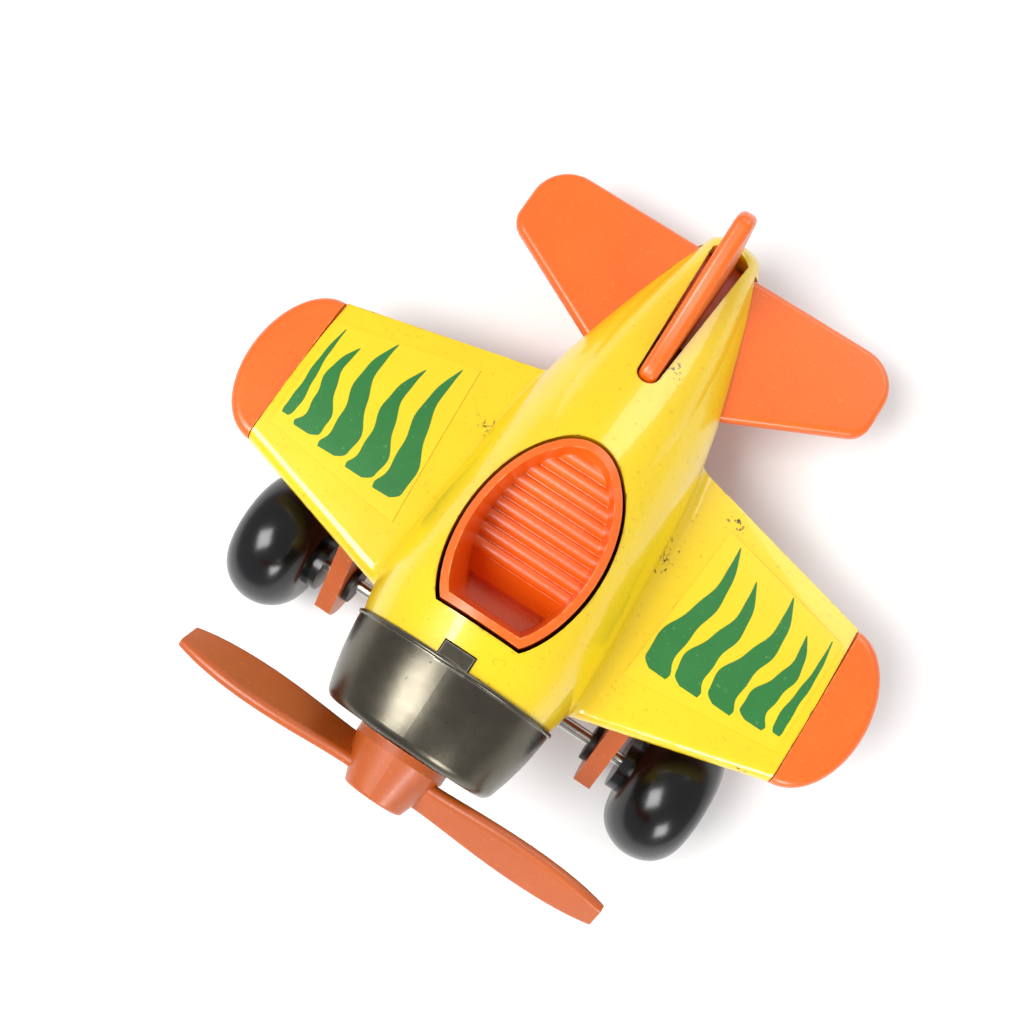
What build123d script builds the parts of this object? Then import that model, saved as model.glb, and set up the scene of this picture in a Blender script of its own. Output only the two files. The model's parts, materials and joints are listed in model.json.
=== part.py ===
"""Pocket-size toy aeroplane: a hollow die-cast body and wings over a moulded belly, with a turning
propeller and rolling balloon wheels. Built level, nose to -Y, origin on the propeller axis at the
rear edge of the cowl, then set down on its wheels and tail skid. Millimetres."""

from build123d import *
import os
from math import atan2, cos, degrees, radians, sin

os.makedirs("parts", exist_ok=True)

# Fits
seat_gap = 0.15  # moulded piece in the casting
tub_gap = 0.4  # cockpit tub in its opening
running_gap = 0.06  # pin in its bore, on the radius
film = 0.12  # decal thickness

# Body: (station, half width, top, bottom) down the length, before the raised deck
body_stations = [
    (0.0, 11.4, 11.4, 11.2),
    (8.0, 12.1, 12.3, 11.5),
    (18.0, 11.5, 11.9, 11.2),
    (28.0, 10.7, 9.6, 10.3),
    (38.0, 8.8, 7.0, 8.2),
    (48.0, 6.0, 4.2, 5.4),
    (56.4, 2.9, 2.3, 2.5),
]
tail_round = 1.6
# Raised deck behind the cockpit: (station, half width, crown, centre height)
deck_stations = [
    (16.0, 7.4, 10.8, 4.6),
    (27.0, 7.2, 10.5, 4.8),
    (34.5, 6.8, 8.6, 3.9),
    (44.0, 5.6, 6.0, 2.3),
    (55.2, 3.1, 3.5, 0.7),
]
wall = 1.3
hollow_end = 52.5
belly_split = -4.4  # casting above, belly moulding below
tail_split = -1.0  # the same joint line behind tail_step
tail_step = 35.6

# Cowl and nose
cowl_rear_radius = 11.6
cowl_front_radius = 9.8
cowl_length = 9.15
cowl_bulge = 0.25
cowl_sheet = 0.5
cowl_corner = 0.9
cowl_bead = 0.25
tab_width = 3.3
tab_reach = 1.4
tab_drop = 1.5
spigot_length = 7.6
bush_radius = 2.0
bush_flange_radius = 3.2
bush_flange = 1.0
bush_proud = 0.1

# Propeller
shaft_radius = 0.8
hub_base_radius = 5.15
hub_nose_radius = 3.3
hub_length = 5.75
hub_clearance = 0.25
blade_radius = 25.0
blade_pitch = 38.0
blade_thickness = 1.4
blade_setback = 2.8  # blade centre behind the hub base
blade_stations = [(2.0, 4.6), (6.0, 4.6), (11.5, 5.6), (16.5, 5.9), (21.5, 5.0)]  # (radius, chord)
blade_tip_chord = 3.3
shaft_grip = 4.2

# Wing
wing_root_span = 6.0
wing_end_span = 33.1
wing_root_lead = 1.05
wing_root_trail = 34.2
wing_end_lead = 8.5
wing_end_trail = 27.4
wing_bottom = belly_split
wing_nose_radius = 1.55
wing_crown = 0.25
wing_trail_thickness = 2.2
wing_skin = 1.3
wing_wall = 1.7
plate_thickness = 1.2
window_width = 12.0
window_length = 18.0
root_fillet = 1.5
tip_reach = 39.2
tip_thickness = 2.9
tip_round = 1.1
tongue_length = 2.9
tongue_width = 11.0
tongue_thickness = 1.2
decal_corners = [(14.6, 9.4), (31.9, 11.4), (32.4, 24.9), (16.3, 28.9)]

# Cockpit
cockpit_front = 4.1
cockpit_rear = 25.8
cockpit_half_width = 7.75
cockpit_front_half_width = 4.7
tub_wall = 0.5
tub_draft = 0.74
rib_count = 9
rib_height = 0.45
seat_top = (24.4, 8.6)
seat_lip = (11.3, 3.2)
seat_foot = (9.2, -0.6)
footwell_front = (5.0, 0.2)

# Tail
tailplane_half_span = 22.75
tailplane_front = 37.5
tailplane_tip_lead = 44.9
tailplane_trail = 54.0
tailplane_thickness = 2.0
tailplane_round = 0.8
fin_thickness = 2.0
fin_round = 0.7
fin_foot_height = 1.1
slot_front = 34.2
slot_rear = 54.4
slot_half_width = 1.25
slot_splay = 1.0  # extra half width at the rear end

# Undercarriage
axle_station = 2.7
axle_height = -14.2
axle_radius = 0.8
leg_inner = 16.9
leg_thickness = 2.1
leg_radius = 4.7
leg_root = (6.7, 13.5)  # front and rear of a leg where it leaves the wing plate
stop_radius = 2.4
stop_thickness = 0.7
stop_gap = 0.1
wheel_radius = 8.4
wheel_inner = 21.5
wheel_width = 9.1
wheel_shoulder = 4.4  # radius where the round of the tyre begins
boss_radius = 3.3
boss_length = 1.3
wheel_grip = 7.0
wheel_dish = 0.7
skid_heel = 49.2
skid_width = 2.6
skid_root = -4.2
nose_up = 13.5

# Rivets
rivet_radius = 0.9
rivet_head_radius = 1.8
rivet_head = 0.6
post_radius = 2.2
rivet_grip = 3.0
wing_rivet_grip = 0.9
rear_rivet_station = 30.6
wing_rivet_station = 17.5
rivet_to_tongue = 6.3

# Places worked out from the sizes above
plate_top = wing_bottom + plate_thickness
tongue_station = (wing_end_lead + wing_end_trail) / 2
tip_start = wing_end_span + seat_gap
tongue_inner = tip_start - tongue_length
rivet_span = tongue_inner - rivet_to_tongue
wing_rivets = [(rivet_span, wing_rivet_station), (-rivet_span, wing_rivet_station)]
tailplane_top = tail_split + tailplane_thickness
leg_centre = leg_inner + leg_thickness / 2
boss_face = wheel_inner - boss_length
wheel_outer = wheel_inner + wheel_width
axle_half = boss_face + wheel_grip
bush_seat = wall - spigot_length
bush_nose = -cowl_length - bush_proud
hub_rear = -cowl_length - hub_clearance
hub_nose = hub_rear - hub_length
retainer_rear = bush_seat + bush_flange + stop_gap + stop_thickness
shaft_tail = retainer_rear + 1.0
ground = axle_height * cos(radians(nose_up)) - axle_station * sin(radians(nose_up)) - wheel_radius
skid_foot = (ground + skid_heel * sin(radians(nose_up))) / cos(radians(nose_up))
blade_plane = hub_rear - blade_setback
cowl_middle_radius = (cowl_rear_radius + cowl_front_radius) / 2 + cowl_bulge
cowl_eye = bush_radius + seat_gap
big = 3 * tip_reach  # reach of a cut that passes right through


def lead_at(x):
    """Leading edge of the wing at span x."""
    share = (x - wing_root_span) / (wing_end_span - wing_root_span)
    return wing_root_lead + share * (wing_end_lead - wing_root_lead)


def trail_at(x):
    """Trailing edge of the wing at span x."""
    share = (x - wing_root_span) / (wing_end_span - wing_root_span)
    return wing_root_trail + share * (wing_end_trail - wing_root_trail)


def station_plane(y):
    """Upright plane across the body: sketch x is +X, sketch y is +Z."""
    return Plane(origin=(0, y, 0), x_dir=(1, 0, 0), z_dir=(0, -1, 0))


def is_head_rim(edge):
    """True for the outer lower rim of a rivet head."""
    return edge.radius > rivet_radius + 0.1 and edge.center().Z < wing_bottom - rivet_head / 2


def span_plane(x):
    """Plane along the body at span x: sketch x is +Y, sketch y is +Z."""
    return Plane.YZ.offset(x)


def body_size(y):
    """Top and bottom of the body at a station, in a straight line between its two neighbours."""
    for (y0, _, top0, bottom0), (y1, _, top1, bottom1) in zip(body_stations, body_stations[1:]):
        if y0 <= y <= y1:
            share = (y - y0) / (y1 - y0)
            return top0 + share * (top1 - top0), bottom0 + share * (bottom1 - bottom0)
    raise ValueError("station outside the body")


def body_form(inset):
    """The closed outer form of the body, or the same form drawn in by a wall thickness."""
    with BuildPart() as form:
        for y, half_width, top, bottom in body_stations:
            with BuildSketch(station_plane(y)):
                with Locations((0, (top - bottom) / 2)):
                    Ellipse((top + bottom) / 2 - inset, half_width - inset, rotation=-90)
        loft()
    return form.part


def wing_form():
    """Both wings as one solid through the body, round-nosed and flat underneath."""
    top = wing_bottom + 2 * wing_nose_radius
    with BuildPart() as form:
        for x in (wing_root_span, wing_end_span):
            lead, trail = lead_at(x), trail_at(x)
            with BuildSketch(span_plane(x)):
                with BuildLine():
                    floor = Line((trail, wing_bottom), (lead + wing_nose_radius, wing_bottom))
                    nose = ThreePointArc(
                        floor @ 1,
                        (lead, wing_bottom + wing_nose_radius),
                        (lead + wing_nose_radius, top),
                    )
                    back = Spline(
                        nose @ 1,
                        (lead + 0.4 * (trail - lead), top + wing_crown),
                        (trail, wing_bottom + wing_trail_thickness),
                    )
                    Line(back @ 1, floor @ 0)
                make_face()
        loft()
        mirror(about=Plane.YZ)
    return form.part


def wing_plan(inset, span):
    """Line of the plan outline of both wings out to a span, drawn in from both edges."""
    right = [
        (0, lead_at(0) + inset),
        (span, lead_at(span) + inset),
        (span, trail_at(span) - inset),
        (0, trail_at(0) - inset),
    ]
    left = [(-x, y) for x, y in reversed(right)]
    return Polyline(*right, *left[1:-1], close=True)


def cockpit_plan(inset, share=1.0):
    """Lines of the shield-shaped cockpit: flat in front, widest near the middle, round behind."""
    middle = (cockpit_front + cockpit_rear) / 2
    reach = (cockpit_rear - cockpit_front) / 2 - inset
    width = (cockpit_half_width - inset) * share
    front_width = (cockpit_front_half_width - 0.6 * inset) * share
    front = middle - reach * share
    rear = middle + reach * share
    length = rear - front
    Bezier(
        (front_width, front),
        (0.91 * width, front + 0.115 * length),
        (1.37 * width, front + 0.53 * length),
        (0.78 * width, rear),
        (0, rear),
    )
    mirror(about=Plane.YZ)
    return Line((-front_width, front), (front_width, front))


wing_outer = wing_form()
rear_post_top = body_size(rear_rivet_station)[0] - wall / 2
rear_floor = wall / 2 - body_size(rear_rivet_station)[1]
rivet_seat = rear_floor - 0.2

# Closed outer form of the body, its tail rounded
with BuildPart() as body_outer:
    add(body_form(0))
    fillet(body_outer.faces().sort_by(Axis.Y)[-1].edges(), tail_round)

# The space inside it
with BuildPart() as hollow:
    add(body_form(wall))
    with Locations((0, hollow_end, 0)):
        Box(big, big, big, align=(Align.CENTER, Align.MAX, Align.CENTER), mode=Mode.INTERSECT)

# Raised deck that runs from the cockpit to the tail
with BuildPart() as deck:
    for y, half_width, crown, centre in deck_stations:
        with BuildSketch(station_plane(y)):
            with Locations((0, centre)):
                Ellipse(crown - centre, half_width, rotation=-90)
    loft()
    fillet(deck.faces().sort_by(Axis.Y)[-1].edges(), 0.8)

# Everything above the belly joint line, stepped up under the tailplane
with BuildPart() as upper_half:
    with Locations((0, 0, belly_split)):
        Box(big, big, big, align=(Align.CENTER, Align.CENTER, Align.MIN))
    with Locations((0, tail_step, tail_split)):
        Box(big, big, big, align=(Align.CENTER, Align.MIN, Align.MAX), mode=Mode.SUBTRACT)

with BuildPart() as tailplane:
    with BuildSketch(Plane.XY.offset(tail_split)):
        with BuildLine():
            Polyline(
                (0, tailplane_trail),
                (tailplane_half_span, tailplane_trail),
                (tailplane_half_span, tailplane_tip_lead),
                (7.6, tailplane_front),
                (0, tailplane_front),
                close=True,
            )
        make_face()
        tip = tailplane_half_span - 1
        fillet(vertices().filter_by_position(Axis.X, tip, tip + 2).sort_by(Axis.Y)[-1], 4.6)
        fillet(vertices().filter_by_position(Axis.X, tip, tip + 2).sort_by(Axis.Y)[0], 2.6)
        mirror(about=Plane.YZ)
    extrude(amount=tailplane_thickness)
    rim = tailplane.edges().filter_by(lambda edge: abs(edge.center().X) > 8.5)
    fillet(rim.filter_by(lambda edge: edge.bounding_box().size.Z < 0.01), tailplane_round)
tailplane.part.label = "tailplane"

# Fin: a plate standing in the deck slot, its foot on the tailplane
with BuildPart() as fin:
    with BuildSketch(span_plane(-fin_thickness / 2)):
        with BuildLine():
            front = Line((slot_front + tub_gap, tailplane_top + 2), (slot_front + tub_gap, 7.6))
            crest = Spline(
                front @ 1,
                (slot_front + 2.3, 9.1),
                (44.0, 11.7),
                (51.4, 14.6),
                tangents=[(0, 1), (1, 0.35)],
            )
            cap = Spline(
                crest @ 1,
                (53.2, 13.8),
                (slot_rear - 0.8, 9.0),
                tangents=[(1, 0.35), (0, -1)],
            )
            back = Line(cap @ 1, (slot_rear - 0.8, tailplane_top))
            root = Line(back @ 1, (slot_front + 2.2, tailplane_top))
            Line(root @ 1, front @ 0)
        make_face()
    extrude(amount=fin_thickness)
    outline = fin.edges().filter_by(
        lambda edge: edge.center().Z > 5.0 and abs(edge.center().X) > 0.4 * fin_thickness
    )
    fillet(outline, fin_round)
    with Locations((0, 45, tailplane_top)):
        Box(2.6 * fin_thickness, 6, fin_foot_height, align=(Align.CENTER, Align.CENTER, Align.MIN))
fin.part.label = "fin"

with BuildPart() as fuselage_casting:
    add(body_outer.part)
    add(wing_outer)
    root_line = fuselage_casting.edges().filter_by(
        lambda edge: 20 < edge.length < 40
        and 9 < abs(edge.center().X) < 13
        and abs(edge.center().Z - wing_bottom - 2 * wing_nose_radius) < 1
    )
    fillet(root_line, root_fillet)
    add(deck.part)
    add(upper_half.part, mode=Mode.INTERSECT)
    # Full ring behind the cowl, closed at the nose and bored for the shaft bush
    with BuildSketch(Plane.YZ):
        with BuildLine():
            Polyline(
                (-spigot_length, 0),
                (-spigot_length, cowl_front_radius - cowl_sheet + 0.1),
                (0, cowl_rear_radius - cowl_sheet - 0.1),
                (wall, cowl_rear_radius - cowl_sheet - 0.1),
                (wall, 0),
                close=True,
            )
        make_face()
    revolve(axis=Axis.Y)
    add(hollow.part, mode=Mode.SUBTRACT)
    with BuildSketch(station_plane(wall)):
        Circle(cowl_front_radius - cowl_sheet - wall)
    extrude(amount=spigot_length, mode=Mode.SUBTRACT)
    with BuildSketch(station_plane(wall)):
        Circle(bush_radius)
    extrude(amount=spigot_length + 2 * wall, mode=Mode.SUBTRACT)
    # Wing pockets, open below and through to the body
    with BuildSketch(Plane.XY.offset(wing_bottom)):
        with BuildLine():
            wing_plan(wing_wall, wing_end_span - wing_wall)
        make_face()
    extrude(amount=2 * wing_nose_radius - wing_skin, mode=Mode.SUBTRACT)
    with BuildSketch(Plane.XY.offset(wing_bottom)):
        with Locations((0, tongue_station)):
            Rectangle(2 * wing_end_span + 1, tongue_width + 2 * seat_gap)
    extrude(amount=tongue_thickness + seat_gap, mode=Mode.SUBTRACT)
    # Cockpit opening, fin slot, tailplane gap and the notch for the cowl tab
    with BuildSketch(Plane.XY):
        with BuildLine():
            cockpit_plan(0)
        make_face()
    extrude(amount=2 * cowl_rear_radius, mode=Mode.SUBTRACT)
    with BuildSketch(Plane.XY):
        with BuildLine():
            side = Line(
                (slot_half_width, slot_front + slot_half_width),
                (slot_half_width + slot_splay, slot_rear - 0.8),
            )
            rear = ThreePointArc(
                side @ 1, (0, slot_rear), (-slot_half_width - slot_splay, slot_rear - 0.8)
            )
            other = Line(rear @ 1, (-slot_half_width, slot_front + slot_half_width))
            ThreePointArc(other @ 1, (0, slot_front), side @ 0)
        make_face()
    extrude(amount=2 * cowl_rear_radius, mode=Mode.SUBTRACT)
    with Locations((0, tailplane_front - seat_gap, tail_split)):
        Box(
            big,
            tailplane_trail - tailplane_front + 2 * seat_gap,
            tailplane_thickness + seat_gap,
            align=(Align.CENTER, Align.MIN, Align.MIN),
            mode=Mode.SUBTRACT,
        )
    with Locations((0, 0, cowl_rear_radius)):
        Box(tab_width + 2 * seat_gap, 2 * (tab_reach + seat_gap), 2 * tab_drop, mode=Mode.SUBTRACT)
    # Posts for the rivets, down to the belly moulding
    with BuildSketch(Plane.XY.offset(plate_top)):
        with Locations((0, rear_rivet_station)):
            Circle(post_radius)
    extrude(amount=rear_post_top - plate_top)
    with BuildSketch(Plane.XY.offset(plate_top)):
        with Locations(*wing_rivets):
            Circle(post_radius)
    extrude(amount=wing_bottom + 2 * wing_nose_radius - 0.4 - plate_top)
    with Locations((0, rear_rivet_station, plate_top)):
        Cylinder(rivet_radius, 2 * rivet_grip, mode=Mode.SUBTRACT)
    with Locations(*[(x, y, plate_top) for x, y in wing_rivets]):
        Cylinder(rivet_radius, 2 * wing_rivet_grip, mode=Mode.SUBTRACT)
fuselage_casting.part.label = "fuselage_casting"

# Belly, under-wing plate, undercarriage legs and tail skid in one moulding
with BuildPart() as belly_base:
    add(body_outer.part)
    add(upper_half.part, mode=Mode.SUBTRACT)
    with Locations((0, wall + seat_gap, 0)):
        Box(big, big, big, align=(Align.CENTER, Align.MIN, Align.CENTER), mode=Mode.INTERSECT)
    add(hollow.part, mode=Mode.SUBTRACT)
    with BuildSketch(Plane.XY.offset(wing_bottom)):
        with BuildLine():
            wing_plan(wing_wall + seat_gap, tongue_inner - seat_gap)
        make_face()
    extrude(amount=plate_top - wing_bottom)
    with BuildSketch(Plane.XY.offset(wing_bottom - 1)):
        with Locations((0, (cockpit_front + cockpit_rear) / 2)):
            RectangleRounded(window_width, window_length, 3)
    extrude(amount=plate_top - wing_bottom + 2, mode=Mode.SUBTRACT)
    # Floor post under the rear rivet
    with BuildSketch(Plane.XY.offset(rear_floor)):
        with Locations((0, rear_rivet_station)):
            Circle(post_radius)
    extrude(amount=wing_bottom + 0.2 - rear_floor)
    # Legs, swept forward to the axle
    for side in (-1, 1):
        with BuildSketch(span_plane(side * leg_centre - leg_thickness / 2)):
            with BuildLine():
                front = Polyline(
                    (leg_root[0], plate_top),
                    (leg_root[0], wing_bottom),
                    (axle_station - leg_radius, axle_height),
                )
                foot = ThreePointArc(
                    front @ 1,
                    (axle_station - 0.64 * leg_radius, axle_height - 0.77 * leg_radius),
                    (axle_station + 0.77 * leg_radius, axle_height - 0.64 * leg_radius),
                )
                back = Line(foot @ 1, (leg_root[1], plate_top))
                Line(back @ 1, front @ 0)
            make_face()
        extrude(amount=leg_thickness)
    with Locations((0, axle_station, axle_height)):
        Cylinder(axle_radius + running_gap, big, rotation=(0, 90, 0), mode=Mode.SUBTRACT)
    # Tail skid
    with BuildSketch(span_plane(-skid_width / 2)):
        with BuildLine():
            Polyline(
                (skid_heel - 9.5, skid_root - 1.0),
                (skid_heel - 3.6, skid_foot + 1.4),
                (skid_heel - 2.0, skid_foot + 0.4),
                (skid_heel, skid_foot),
                (skid_heel + 1.0, skid_foot + 1.0),
                (skid_heel - 0.2, skid_root),
                close=True,
            )
        make_face()
    extrude(amount=skid_width)
    # Rivet holes
    with Locations((0, rear_rivet_station, rear_floor)):
        Cylinder(rivet_radius, 2 * (plate_top + 1 - rear_floor), mode=Mode.SUBTRACT)
    with Locations((0, rear_rivet_station, rivet_seat)):
        Cylinder(
            rivet_head_radius + seat_gap,
            4 * rivet_head,
            align=(Align.CENTER, Align.CENTER, Align.MAX),
            mode=Mode.SUBTRACT,
        )
    with Locations(*[(x, y, wing_bottom) for x, y in wing_rivets]):
        Cylinder(rivet_radius, 4 * plate_thickness, mode=Mode.SUBTRACT)
belly_base.part.label = "belly_base"

# Rivets: the rear one and the wing pair, in one node
with BuildPart() as base_rivets:
    shanks = [(0, rear_rivet_station, rivet_seat, plate_top + rivet_grip - 0.2)]
    shanks += [(x, y, wing_bottom, plate_top + wing_rivet_grip - 0.1) for x, y in wing_rivets]
    for x, y, seat, end in shanks:
        with BuildSketch(Plane.XY.offset(seat)):
            with Locations((x, y)):
                Circle(rivet_radius)
        extrude(amount=end - seat)
        with BuildSketch(Plane.XY.offset(seat)):
            with Locations((x, y)):
                Circle(rivet_head_radius)
        extrude(amount=-rivet_head)
    fillet(base_rivets.edges().filter_by(GeomType.CIRCLE).filter_by(is_head_rim), rivet_head / 3)
base_rivets.part.label = "base_rivets"

# Wing tips: half-round ends with a tongue trapped under the casting
with BuildPart() as wing_tip_left:
    with BuildSketch(Plane.XY.offset(wing_bottom + 0.1)):
        with BuildLine():
            edge = EllipticalCenterArc(
                (tip_start, tongue_station),
                tip_reach - tip_start,
                (wing_end_trail - wing_end_lead) / 2 - 0.1,
                start_angle=-90,
                arc_size=180,
            )
            Line(edge @ 1, edge @ 0)
        make_face()
    extrude(amount=tip_thickness)
    rim = wing_tip_left.edges().filter_by(
        lambda edge: edge.bounding_box().size.Z < 0.01 and edge.center().X > tip_start + 0.5
    )
    fillet(rim, tip_round)
    with Locations((tip_start, tongue_station, wing_bottom)):
        Box(
            2 * tongue_length,
            tongue_width,
            tongue_thickness,
            align=(Align.CENTER, Align.CENTER, Align.MIN),
        )
wing_tip_left.part.label = "wing_tip_left"
with BuildPart() as wing_tip_right:
    add(wing_tip_left.part.mirror(Plane.YZ))
wing_tip_right.part.label = "wing_tip_right"

# Cockpit tub: shield-shaped well with a ribbed seat
with BuildPart() as crown:
    add(body_outer.part)
    add(deck.part)

seat_line = Line(seat_lip, seat_top)
seat_slope = degrees(atan2(seat_top[1] - seat_lip[1], seat_top[0] - seat_lip[0]))

with BuildPart() as well:
    with BuildSketch(Plane.XY.offset(plate_top)):
        with BuildLine():
            cockpit_plan(tub_gap + tub_wall, tub_draft)
        make_face()
    with BuildSketch(Plane.XY.offset(cowl_rear_radius + 2)):
        with BuildLine():
            cockpit_plan(tub_gap + tub_wall)
        make_face()
    loft()
    with BuildSketch(span_plane(-cockpit_half_width)):
        with BuildLine():
            Polyline(
                (cockpit_front, cowl_rear_radius + 2),
                (cockpit_front, footwell_front[1] + 0.4),
                footwell_front,
                seat_foot,
                (seat_foot[0] + 0.3, seat_foot[1] + 1.6),
                seat_lip,
                seat_top,
                (cockpit_rear, seat_top[1] + 0.6),
                (cockpit_rear, cowl_rear_radius + 2),
                close=True,
            )
        make_face()
        with Locations(*[seat_line @ ((n + 0.5) / rib_count) for n in range(rib_count)]):
            Ellipse(
                0.47 * seat_line.length / rib_count,
                rib_height,
                rotation=seat_slope,
                mode=Mode.SUBTRACT,
            )
    extrude(amount=2 * cockpit_half_width, mode=Mode.INTERSECT)

with BuildPart() as cockpit_tub:
    with BuildSketch(Plane.XY.offset(plate_top)):
        with BuildLine():
            cockpit_plan(tub_gap)
        make_face()
    extrude(amount=2 * cowl_rear_radius)
    add(crown.part, mode=Mode.INTERSECT)
    add(well.part, mode=Mode.SUBTRACT)
    # Cored out under the seat
    with BuildSketch(span_plane(-0.5 * cockpit_half_width)):
        with BuildLine():
            Polyline(
                (seat_lip[0] + 1.5, plate_top - 1),
                (seat_lip[0] + 1.5, seat_lip[1] - 1.2),
                (seat_top[0] - 3.2, seat_top[1] - 3.2),
                (seat_top[0] - 3.2, plate_top - 1),
                close=True,
            )
        make_face()
    extrude(amount=cockpit_half_width, mode=Mode.SUBTRACT)
cockpit_tub.part.label = "cockpit_tub"

# Cowl: drawn sheet-metal cup with a beaded rear edge and a locking tab
with BuildPart() as cowl:
    with BuildSketch(Plane.YZ):
        with BuildLine():
            skirt = ThreePointArc(
                (0, cowl_rear_radius),
                (-0.5 * cowl_length, cowl_middle_radius),
                (-cowl_length + cowl_corner, cowl_front_radius + 0.15),
            )
            corner = TangentArc(
                skirt @ 1, (-cowl_length, cowl_front_radius - cowl_corner), tangent=skirt % 1
            )
            face = Line(corner @ 1, (-cowl_length, cowl_eye))
            eye = Line(face @ 1, (-cowl_length + cowl_sheet, cowl_eye))
            back = Line(eye @ 1, (-cowl_length + cowl_sheet, cowl_front_radius - cowl_corner))
            inner = ThreePointArc(
                (-cowl_length + cowl_corner, cowl_front_radius + 0.15 - cowl_sheet),
                (-0.5 * cowl_length, cowl_middle_radius - cowl_sheet),
                (0, cowl_rear_radius - cowl_sheet),
            )
            Line(back @ 1, inner @ 0)
            Line(inner @ 1, skirt @ 0)
        make_face()
        with Locations((-cowl_bead, cowl_rear_radius - 0.05)):
            Circle(cowl_bead)
    revolve(axis=Axis.Y)
    with Locations((0, -0.6, cowl_rear_radius - cowl_sheet)):
        Box(
            tab_width,
            tab_reach + 0.6,
            cowl_sheet,
            align=(Align.CENTER, Align.MIN, Align.MIN),
        )
    with Locations((0, tab_reach - cowl_sheet, cowl_rear_radius - tab_drop + 0.2)):
        Box(
            tab_width,
            cowl_sheet,
            tab_drop - 0.2,
            align=(Align.CENTER, Align.MIN, Align.MIN),
        )
cowl.part.label = "cowl"

# Flanged bush that carries the propeller shaft
with BuildPart() as shaft_bush:
    with BuildSketch(Plane.YZ):
        with BuildLine():
            Polyline(
                (bush_nose, shaft_radius + running_gap),
                (bush_nose, bush_radius),
                (bush_seat, bush_radius),
                (bush_seat, bush_flange_radius),
                (bush_seat + bush_flange, bush_flange_radius),
                (bush_seat + bush_flange, shaft_radius + running_gap),
                close=True,
            )
        make_face()
    revolve(axis=Axis.Y)
shaft_bush.part.label = "shaft_bush"

# Propeller: tapered hub and two pitched blades, blind-bored for the shaft
with BuildPart() as blade:
    for radius, chord in blade_stations:
        with BuildSketch(span_plane(radius)):
            with Locations((blade_plane, 0)):
                SlotOverall(chord, blade_thickness, rotation=90 - blade_pitch)
    with BuildSketch(span_plane(blade_radius)):
        with Locations((blade_plane, 0)):
            SlotOverall(blade_tip_chord, 0.75 * blade_thickness, rotation=90 - blade_pitch)
    loft()

with BuildPart() as propeller:
    with BuildSketch(Plane.YZ):
        with BuildLine():
            Polyline(
                (hub_rear, 0),
                (hub_rear, hub_base_radius),
                (hub_rear - 0.9, hub_base_radius),
                (hub_nose, hub_nose_radius),
                (hub_nose, 0),
                close=True,
            )
        make_face()
    revolve(axis=Axis.Y)
    fillet(propeller.edges().group_by(Axis.Y)[0], 0.5)
    add(blade.part)
    add(blade.part.rotate(Axis.Y, 180))
    with Locations((0, hub_rear, 0)):
        Cylinder(shaft_radius, 2 * shaft_grip, rotation=(90, 0, 0), mode=Mode.SUBTRACT)
propeller.part.label = "propeller"

with BuildPart() as propeller_shaft:
    with BuildSketch(station_plane(shaft_tail)):
        Circle(shaft_radius)
    extrude(amount=shaft_tail - hub_rear + shaft_grip)
    chamfer(propeller_shaft.edges().group_by(Axis.Y)[-1], 0.2)
propeller_shaft.part.label = "propeller_shaft"

# Push-on washer behind the bush
with BuildPart() as shaft_retainer:
    with BuildSketch(station_plane(retainer_rear)):
        Circle(stop_radius)
        Circle(shaft_radius, mode=Mode.SUBTRACT)
    extrude(amount=stop_thickness)
shaft_retainer.part.label = "shaft_retainer"

# Axle, washers and wheels turn together in the bores of the legs
with BuildPart() as axle:
    with BuildSketch(Plane(origin=(-axle_half, axle_station, axle_height), z_dir=(1, 0, 0))):
        Circle(axle_radius)
    extrude(amount=2 * axle_half)
    chamfer(axle.edges().filter_by(GeomType.CIRCLE), 0.2)
axle.part.label = "axle"

with BuildPart() as axle_washer_left:
    washer_plane = Plane(
        origin=(leg_inner - stop_gap, axle_station, axle_height), z_dir=(-1, 0, 0)
    )
    with BuildSketch(washer_plane):
        Circle(stop_radius)
        Circle(axle_radius, mode=Mode.SUBTRACT)
    extrude(amount=stop_thickness)
axle_washer_left.part.label = "axle_washer_left"
with BuildPart() as axle_washer_right:
    add(axle_washer_left.part.mirror(Plane.YZ))
axle_washer_right.part.label = "axle_washer_right"

with BuildPart() as wheel_left:
    with BuildSketch(Plane(origin=(0, axle_station, axle_height))):
        with BuildLine():
            tread = EllipticalCenterArc(
                (wheel_inner + wheel_width / 2, wheel_shoulder),
                wheel_width / 2,
                wheel_radius - wheel_shoulder,
                start_angle=0,
                arc_size=180,
            )
            Polyline(
                (boss_face, 0),
                (boss_face, boss_radius),
                (wheel_inner, boss_radius),
                tread @ 1,
            )
            Polyline(
                tread @ 0,
                (wheel_outer, 0.42 * wheel_radius),
                (wheel_outer - wheel_dish, 0.36 * wheel_radius),
                (wheel_outer - wheel_dish, 0),
                (boss_face, 0),
            )
        make_face()
    revolve(axis=Axis((0, axle_station, axle_height), (1, 0, 0)))
    with Locations((boss_face, axle_station, axle_height)):
        Cylinder(axle_radius, 2 * wheel_grip, rotation=(0, 90, 0), mode=Mode.SUBTRACT)
wheel_left.part.label = "wheel_left"
with BuildPart() as wheel_right:
    add(wheel_left.part.mirror(Plane.YZ))
wheel_right.part.label = "wheel_right"

# Decals: thin film on the upper face of each wing
with BuildPart() as decal_left:
    with BuildSketch(Plane.XY.offset(wing_bottom)):
        with BuildLine():
            Polyline(*decal_corners, close=True)
        make_face()
    extrude(amount=4 * wing_nose_radius)
    add(wing_outer.translate((0, 0, film)), mode=Mode.INTERSECT)
    add(wing_outer, mode=Mode.SUBTRACT)
decal_left.part.label = "decal_left"
with BuildPart() as decal_right:
    add(decal_left.part.mirror(Plane.YZ))
decal_right.part.label = "decal_right"

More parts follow.
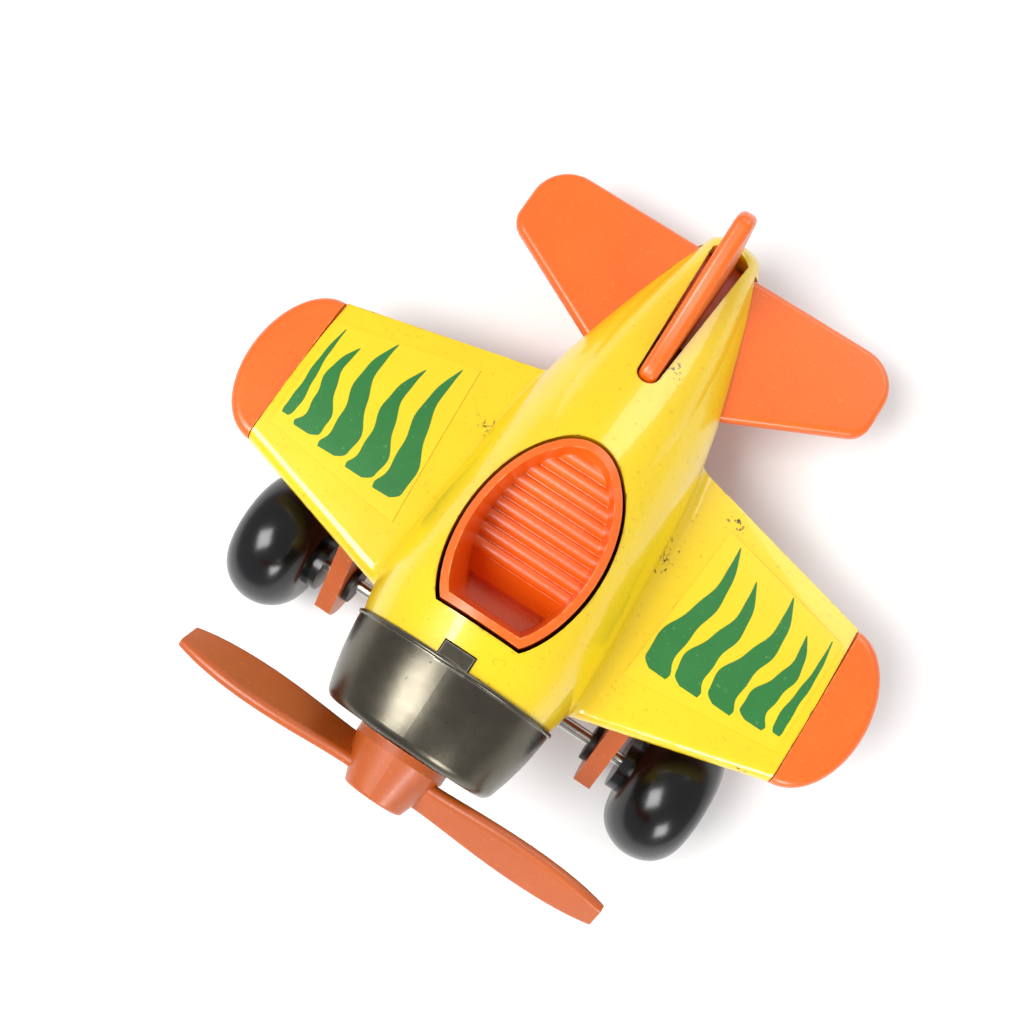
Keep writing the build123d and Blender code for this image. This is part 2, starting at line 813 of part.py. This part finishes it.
# Set the toy down on its wheels and skid, with the origin under the middle of its box
pieces = [
    fuselage_casting, belly_base, base_rivets, tailplane, fin, wing_tip_left, wing_tip_right,
    cockpit_tub, cowl, shaft_bush, propeller, propeller_shaft, shaft_retainer, axle,
    axle_washer_left, axle_washer_right, wheel_left, wheel_right, decal_left, decal_right,
]
tilt = Location((0, 0, 0), (-nose_up, 0, 0))
boxes = [piece.part.moved(tilt).bounding_box() for piece in pieces]
middle = (min(box.min.Y for box in boxes) + max(box.max.Y for box in boxes)) / 2
stance = Location((0, -middle, -ground)) * tilt
for piece in pieces:
    stood = piece.part.moved(stance)
    stood.label = piece.part.label
    export_step(stood, f"parts/{stood.label}.step")

for name, spot in (("propeller", (0, hub_rear, 0)), ("axle", (0, axle_station, axle_height))):
    print(name, "turns about", (stance * Location(spot)).position)
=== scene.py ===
"""Pocket die-cast toy aeroplane: enamelled casting, orange trim, plated cowl, black wheels."""
import json
import math
import bmesh
import bpy
from mathutils import Matrix, Vector
from mathutils.bvhtree import BVHTree


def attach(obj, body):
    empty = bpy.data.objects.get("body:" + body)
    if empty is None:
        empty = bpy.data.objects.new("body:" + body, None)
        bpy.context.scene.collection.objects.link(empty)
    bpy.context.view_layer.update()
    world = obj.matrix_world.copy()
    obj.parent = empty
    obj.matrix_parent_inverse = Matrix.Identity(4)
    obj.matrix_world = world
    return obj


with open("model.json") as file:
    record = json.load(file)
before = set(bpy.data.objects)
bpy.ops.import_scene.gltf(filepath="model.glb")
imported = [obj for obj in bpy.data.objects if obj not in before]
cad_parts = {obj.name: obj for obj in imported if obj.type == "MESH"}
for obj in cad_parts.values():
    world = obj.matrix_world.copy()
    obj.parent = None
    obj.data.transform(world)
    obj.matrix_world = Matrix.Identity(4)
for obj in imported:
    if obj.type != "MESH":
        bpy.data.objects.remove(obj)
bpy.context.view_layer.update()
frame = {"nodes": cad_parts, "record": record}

# Stance. The toy stands nose-up on its wheels and tail skid. Its level frame has the propeller
# axis along Y with the cowl's rear edge at zero, and is found again from the axle.
MM = 0.001
nose_up = math.radians(13.5)
tilt = Matrix.Rotation(-nose_up, 4, "X")
axle_level = Vector((0, 2.7, -14.2)) * MM
joints = {joint["name"]: joint for joint in frame["record"]["behaviour"]["joints"]}
axle_spot = Vector(joints["wheel_roll"]["pos_m"])
level = Matrix.Translation(axle_spot - tilt @ axle_level) @ tilt


def spot(x, y, z):
    """A place given in level millimetres, in the toy's own metres."""
    return level @ (Vector((x, y, z)) * MM)


# Camera. A close hand-held view, nearly straight down on the cockpit from the nose side.
camera_data = bpy.data.cameras.new("close_camera")
camera_data.sensor_width = 36
camera_data.lens = 40.2
camera_data.shift_x = -0.0025
camera_data.clip_start = 0.005
azimuth, elevation, roll = math.radians(26.63), math.radians(77.98), math.radians(6.895)
back = Vector((math.sin(azimuth) * math.cos(elevation), -math.cos(azimuth) * math.cos(elevation),
               math.sin(elevation)))
right = (-back).cross(Vector((0, 0, 1))).normalized()
upward = right.cross(-back)
across = math.cos(roll) * right + math.sin(roll) * upward
top = math.cos(roll) * upward - math.sin(roll) * right
eye = (Vector((-3.71, 17.77, -3.0)) + 125.6 * back) * MM
turn = Matrix((across, top, back)).transposed().to_4x4()
camera = bpy.data.objects.new("close_camera", camera_data)
camera.matrix_world = level @ Matrix.Translation(eye) @ turn
bpy.context.scene.collection.objects.link(camera)
bpy.context.scene.camera = camera


# Light. Three soft boxes, overhead, from the nose and from the tail, in an even pale room.
def soft_box(name, place, width, power):
    """A square area light aimed at the middle of the toy."""
    data = bpy.data.lights.new(name, "AREA")
    data.size = width
    data.energy = power
    lamp = bpy.data.objects.new(name, data)
    lamp.location = place
    lamp.rotation_euler = (Vector((0, 0, 0.015)) - Vector(place)).to_track_quat("-Z", "Y").to_euler()
    bpy.context.scene.collection.objects.link(lamp)


soft_box("overhead_box", (-0.16, -0.10, 0.42), 0.22, 1.8)
soft_box("nose_box", (0.26, -0.34, 0.26), 0.16, 1.0)
soft_box("tail_box", (0.10, 0.40, 0.24), 0.25, 0.6)
room = bpy.data.worlds.new("pale_room")
room.use_nodes = True
room.node_tree.nodes["Background"].inputs["Color"].default_value = (0.93, 0.95, 1.0, 1)
room.node_tree.nodes["Background"].inputs["Strength"].default_value = 0.50
bpy.context.scene.world = room
bpy.context.scene.view_settings.view_transform = "Standard"


# Floor. Plain pale laminate, so large that its edge is never seen.
def linear(code):
    """A hex sRGB colour as linear RGBA."""
    channels = [int(code[i:i + 2], 16) / 255 for i in (1, 3, 5)]
    return [c / 12.92 if c <= 0.04045 else ((c + 0.055) / 1.055) ** 2.4 for c in channels] + [1.0]


MIXED, UNDER, OVER = 2, 6, 7  # a colour mix's result, and its colours at share 0 and share 1


def add(material, kind, output, inputs, **settings):
    """Adds a node and gives back one output. An input is a value, a hex colour or an output."""
    made = material.node_tree.nodes.new(kind)
    for name, value in settings.items():
        setattr(made, name, value)
    for socket, value in inputs.items():
        if isinstance(value, bpy.types.NodeSocket):
            material.node_tree.links.new(value, made.inputs[socket])
        else:
            made.inputs[socket].default_value = linear(value) if isinstance(value, str) else value
    return made.outputs[output]


def new_material(name, **shader):
    """A material with one Principled shader, its even values set on the shader's sockets."""
    material = bpy.data.materials.new(name)
    material.use_nodes = True
    principled = material.node_tree.nodes["Principled BSDF"]
    for socket, value in shader.items():
        principled.inputs[socket.replace("_", " ")].default_value = value
    return material, principled


def grain(material, size_mm, detail=2.0, roughness=0.5):
    """Noise in the piece's own space whose blotches measure about size_mm."""
    place = add(material, "ShaderNodeTexCoord", "Object", {})
    return add(material, "ShaderNodeTexNoise", "Fac",
               {"Vector": place, "Scale": 1.0 / (size_mm * MM), "Detail": detail,
                "Roughness": roughness})


def feed(material, principled, **outputs):
    """Links outputs to the shader's sockets."""
    for socket, source in outputs.items():
        material.node_tree.links.new(source, principled.inputs[socket.replace("_", " ")])


def mottle(material, first, second, size_mm, detail=2.0):
    """Two colours clouded into each other in blotches of size_mm."""
    return add(material, "ShaderNodeMix", MIXED,
               {"Factor": grain(material, size_mm, detail), UNDER: first, OVER: second},
               data_type="RGBA")


laminate, shader = new_material("pale_laminate", Roughness=0.6)
feed(laminate, shader, Base_Color=mottle(laminate, "#F4F4F2", "#EFEFED", 60))
floor_mesh = bpy.data.meshes.new("floor")
floor_mesh.from_pydata([(-3, -3, 0), (3, -3, 0), (3, 3, 0), (-3, 3, 0)], [], [(0, 1, 2, 3)])
floor = bpy.data.objects.new("floor", floor_mesh)
floor_mesh.materials.append(laminate)
bpy.context.scene.collection.objects.link(floor)


# Casting. Die-cast zinc body and wings in glossy sprayed enamel, chipped to dark metal in places.
def give(material, *nodes):
    """Puts one material on CAD nodes."""
    for name in nodes:
        slots = frame["nodes"][name].material_slots
        for index in range(len(slots)):
            slots[index].material = material


def near(material, node, place, radius_mm):
    """1 at a level place on the node and 0 outside radius_mm, with a ragged outline."""
    where = add(material, "ShaderNodeTexCoord", "Object", {})
    centre = frame["nodes"][node].matrix_world.inverted() @ spot(*place)
    reach = add(material, "ShaderNodeVectorMath", "Value", {0: where, 1: centre},
                operation="DISTANCE")
    ragged = add(material, "ShaderNodeMath", 0, {0: grain(material, 0.8, 3), 1: reach},
                 operation="MULTIPLY")
    return add(material, "ShaderNodeMapRange", "Result",
               {"Value": ragged, "From Min": radius_mm * MM * 0.55,
                "From Max": radius_mm * MM * 0.38})


def edges(material, radius_mm):
    """1 along the piece's own edges and corners, 0 on its open faces."""
    rounded = add(material, "ShaderNodeBevel", "Normal", {"Radius": radius_mm * MM}, samples=4)
    plain = add(material, "ShaderNodeNewGeometry", "Normal", {})
    match = add(material, "ShaderNodeVectorMath", "Value", {0: rounded, 1: plain},
                operation="DOT_PRODUCT")
    return add(material, "ShaderNodeMapRange", "Result",
               {"Value": match, "From Min": 0.97, "From Max": 0.75})


def specks(material, low, high, size_mm, detail, roughness=0.5):
    """Scattered specks of size_mm: 0 where the noise is under low, 1 where it is over high."""
    return add(material, "ShaderNodeMapRange", "Result",
               {"Value": grain(material, size_mm, detail, roughness), "From Min": low,
                "From Max": high})


def uneven_gloss(material, principled, low, high, size_mm, detail):
    """Roughness that wanders between low and high in blotches of size_mm."""
    feed(material, principled, Roughness=add(
        material, "ShaderNodeMapRange", "Result",
        {"Value": grain(material, size_mm, detail), "To Min": low, "To Max": high}))


# Places where the enamel is chipped through, in level millimetres, each with its radius.
CHIPS = [
    ((11, 22.2, 0), 2.0), ((16.3, 30.3, -1), 1.4), ((9, 27.5, 0), 1.1), ((2.4, 37.5, 8.5), 1.3),
    ((-12, 24, 0), 1.5), ((3.0, 57.5, 3.2), 2.2), ((-2.2, 60, 3.0), 2.2), ((30.5, 7.0, -1.5), 1.3),
]
enamel, shader = new_material("yellow_enamel", IOR=1.5, Coat_Weight=0.7, Coat_Roughness=0.06)
film = add(enamel, "ShaderNodeMix", MIXED,
           {"Factor": specks(enamel, 0.62, 0.75, 0.5, 2),
            UNDER: mottle(enamel, "#F0CF08", "#E6C004", 9, 3), OVER: "#D8B204"},
           data_type="RGBA")
thin = add(enamel, "ShaderNodeMath", 0,
           {0: edges(enamel, 0.5), 1: specks(enamel, 0.4, 0.6, 3, 3)}, operation="MULTIPLY")
rubbed = add(enamel, "ShaderNodeMix", MIXED, {"Factor": thin, UNDER: film, OVER: "#C79A08"},
             data_type="RGBA")
chip = add(enamel, "ShaderNodeMath", 0,
           {0: edges(enamel, 0.35), 1: specks(enamel, 0.58, 0.61, 1.3, 4, 0.7)},
           operation="MULTIPLY")
crumbs = specks(enamel, 0.53, 0.57, 0.55, 3, 0.7)
for place, radius in CHIPS:
    patch = add(enamel, "ShaderNodeMath", 0,
                {0: near(enamel, "fuselage_casting", place, radius), 1: crumbs},
                operation="MULTIPLY")
    chip = add(enamel, "ShaderNodeMath", 0, {0: chip, 1: patch}, operation="MAXIMUM")
dimple = add(enamel, "ShaderNodeMath", 0, {0: grain(enamel, 1.6, 2), 1: chip},
             operation="SUBTRACT")
feed(enamel, shader,
     Base_Color=add(enamel, "ShaderNodeMix", MIXED,
                    {"Factor": chip, UNDER: rubbed, OVER: "#3A2C12"}, data_type="RGBA"),
     Normal=add(enamel, "ShaderNodeBump", "Normal",
                {"Height": dimple, "Strength": 0.16, "Distance": 0.05 * MM}))
uneven_gloss(enamel, shader, 0.24, 0.38, 2, 4)
give(enamel, "fuselage_casting")


# Orange mouldings. Injection-moulded polystyrene: tail, wing tips and cockpit tub bright and satin;
# propeller and belly a darker copy as painted shade. Edges painted paler, part rubbed wear and part
# painted highlight; faces hold dust.
def relief(material, principled, strength, depth_mm, size_mm, detail):
    """Fine uneven skin, depth_mm deep, in blotches of size_mm."""
    feed(material, principled, Normal=add(
        material, "ShaderNodeBump", "Normal",
        {"Height": grain(material, size_mm, detail), "Strength": strength,
         "Distance": depth_mm * MM}))


def polystyrene(name, clean, mottled, dust, edge_rub_and_sheen, gloss):
    """Moulded polystyrene with flow marks, dust, paler edges (rubbed wear and painted highlight) and
    a leathery mould skin.
    """
    material, principled = new_material(name, IOR=1.59, Coat_Weight=0.2, Coat_Roughness=0.16,
                                        Subsurface_Weight=0.04, Subsurface_Scale=0.0008)
    dusty = add(material, "ShaderNodeMix", MIXED,
                {"Factor": specks(material, 0.62, 0.8, 0.35, 3),
                 UNDER: mottle(material, clean, mottled, 7, 3), OVER: dust}, data_type="RGBA")
    # Edges lighter in specks: partly rubbed wear, partly a painted highlight.
    edge_sheen_and_wear = add(material, "ShaderNodeMath", 0,
                    {0: edges(material, 0.3), 1: specks(material, 0.48, 0.6, 1.0, 4)},
                    operation="MULTIPLY")
    feed(material, principled, Base_Color=add(
        material, "ShaderNodeMix", MIXED, {"Factor": edge_sheen_and_wear, UNDER: dusty, OVER: edge_rub_and_sheen},
        data_type="RGBA"))
    uneven_gloss(material, principled, gloss, gloss + 0.16, 3, 3)
    relief(material, principled, 0.12, 0.03, 0.5, 3)
    return material


give(polystyrene("orange_polystyrene", "#EE6A0C", "#E25E08", "#F0822E", "#F4A062", 0.26),
     "tailplane", "fin", "wing_tip_left", "wing_tip_right", "cockpit_tub")
# A darker copy of the same orange: painted shade on the propeller and belly base.
give(polystyrene("shaded_orange_polystyrene", "#C4580A", "#A84A08", "#CE7024", "#D48C4C", 0.36),
     "belly_base", "propeller")

# Cowl. Drawn sheet-metal cup in dark nickel plating, clouded, with its edges rubbed bright.
nickel, shader = new_material("dark_nickel", Metallic=1.0)
clouded = add(nickel, "ShaderNodeMix", MIXED,
              {"Factor": specks(nickel, 0.66, 0.74, 0.5, 3, 0.7),
               UNDER: mottle(nickel, "#6A6558", "#524E44", 5, 4), OVER: "#38342B"},
              data_type="RGBA")
feed(nickel, shader, Base_Color=add(
    nickel, "ShaderNodeMix", MIXED,
    {"Factor": edges(nickel, 0.3), UNDER: clouded, OVER: "#B9B4A6"}, data_type="RGBA"))
uneven_gloss(nickel, shader, 0.22, 0.36, 1.2, 4)
relief(nickel, shader, 0.08, 0.02, 0.9, 2)
give(nickel, "cowl")

# Steel wire and turned parts. The axle, shaft and rivets are bright drawn wire, the washers and
# the retaining ring are blackened spring steel, and the bush is plain turned brass.
wire, shader = new_material("bright_steel_wire", Metallic=1.0, Roughness=0.22)
feed(wire, shader, Base_Color=mottle(wire, "#D8D6D0", "#A9A69C", 1.2, 4))
give(wire, "axle", "propeller_shaft", "base_rivets")
blacked, shader = new_material("blackened_steel", Metallic=1.0, Roughness=0.45)
feed(blacked, shader, Base_Color=mottle(blacked, "#2A2825", "#46423B", 0.8, 4))
give(blacked, "axle_washer_left", "axle_washer_right", "shaft_retainer")
brass, shader = new_material("turned_brass", Metallic=1.0, Roughness=0.3)
feed(brass, shader, Base_Color=mottle(brass, "#C9A14A", "#A9832F", 1.0, 3))
give(brass, "shaft_bush")

# Wheels. Balloon wheels moulded in glossy black plastic, with faint pale scuffs.
black, shader = new_material("black_moulded_plastic", IOR=1.5)
feed(black, shader, Base_Color=add(
    black, "ShaderNodeMix", MIXED,
    {"Factor": specks(black, 0.64, 0.8, 0.5, 4, 0.7), UNDER: "#060606", OVER: "#242321"},
    data_type="RGBA"))
uneven_gloss(black, shader, 0.14, 0.3, 2.5, 4)
relief(black, shader, 0.1, 0.02, 0.6, 3)
give(black, "wheel_left", "wheel_right")

# Decals. A thin printed film on each wing, slightly uneven, with green ink flames laid on it as
# separate closed inlays.
sticker, shader = new_material("printed_film", Roughness=0.34, Coat_Weight=0.3,
                               Coat_Roughness=0.15)
feed(sticker, shader, Base_Color=mottle(sticker, "#E9CF1C", "#DFC414", 5, 3))
relief(sticker, shader, 0.1, 0.03, 0.8, 2)
give(sticker, "decal_left", "decal_right")
ink, shader = new_material("green_ink", Roughness=0.42)
feed(ink, shader, Base_Color=add(
    ink, "ShaderNodeMix", MIXED,
    {"Factor": specks(ink, 0.64, 0.74, 0.5, 3, 0.7),
     UNDER: mottle(ink, "#1F6A2C", "#2C7836", 4, 3), OVER: "#6C9C50"}, data_type="RGBA"))
relief(ink, shader, 0.25, 0.04, 0.7, 2)

# Each flame: start and end of its spine, sideways swing of the spine, widest half width, in
# level millimetres on the left wing. They all lean the same way and never touch.
FLAMES = [
    ((17.5, 11.4), (18.0, 27.9), 1.3, 1.65),
    ((21.2, 11.6), (21.3, 25.6), 1.4, 1.75),
    ((25.0, 11.9), (25.5, 26.4), 1.4, 1.75),
    ((28.6, 12.4), (28.7, 23.6), 1.2, 1.55),
    ((31.1, 12.9), (31.3, 24.6), 0.3, 0.65),
]
INK_UNDER, INK_OVER = -0.03, 0.035  # bottom and top of the ink over the film, in mm
ALONG, ACROSS = 48, 4  # steps along and across one flame


def flame_sheet(name, side):
    """Closed thin inlays of ink lying on the film of one wing."""
    film_mesh = frame["nodes"]["decal_" + name].data
    film_tree = BVHTree.FromPolygons([v.co for v in film_mesh.vertices],
                                     [p.vertices for p in film_mesh.polygons])
    down = level.to_3x3() @ Vector((0, 0, -1))
    sheet = bmesh.new()
    for start, end, swing, half in FLAMES:
        start, end = Vector(start), Vector(end)
        run = end - start
        sideways = Vector((-run.y, run.x)).normalized()
        rows = []
        for i in range(ALONG + 1):
            t = i / ALONG
            spine = start + run * t + sideways * swing * math.sin(2 * math.pi * t ** 0.8) * 0.6
            width = half * min(1.0, 14 * t + 0.3) ** 0.5 * (1 - t) ** 0.8 + 0.04
            width *= 1 + 0.10 * math.sin(7 * math.pi * t + half * 5)
            row = []
            for j in range(ACROSS + 1):
                place = spine + sideways * width * (2 * j / ACROSS - 1)
                above = spot(side * place.x, place.y, 4.0)
                hit = film_tree.ray_cast(above, down)[0]
                if hit is None:
                    hit = film_tree.find_nearest(spot(side * place.x, place.y, -1))[0]
                row.append((sheet.verts.new(hit - down * INK_OVER * MM),
                            sheet.verts.new(hit - down * INK_UNDER * MM)))
            rows.append(row)
        for i in range(ALONG):
            for j in range(ACROSS):
                for layer in (0, 1):
                    sheet.faces.new([rows[i][j][layer], rows[i + 1][j][layer],
                                     rows[i + 1][j + 1][layer], rows[i][j + 1][layer]])
            for j in (0, ACROSS):
                sheet.faces.new([rows[i][j][0], rows[i + 1][j][0], rows[i + 1][j][1],
                                 rows[i][j][1]])
        for i in (0, ALONG):
            for j in range(ACROSS):
                sheet.faces.new([rows[i][j][0], rows[i][j + 1][0], rows[i][j + 1][1],
                                 rows[i][j][1]])
    bmesh.ops.recalc_face_normals(sheet, faces=sheet.faces)
    mesh = bpy.data.meshes.new("flames_" + name)
    sheet.to_mesh(mesh)
    sheet.free()
    mesh.materials.append(ink)
    flames = bpy.data.objects.new("flames_" + name, mesh)
    bpy.context.scene.collection.objects.link(flames)
    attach(flames, "airframe")


flame_sheet("left", 1)
flame_sheet("right", -1)
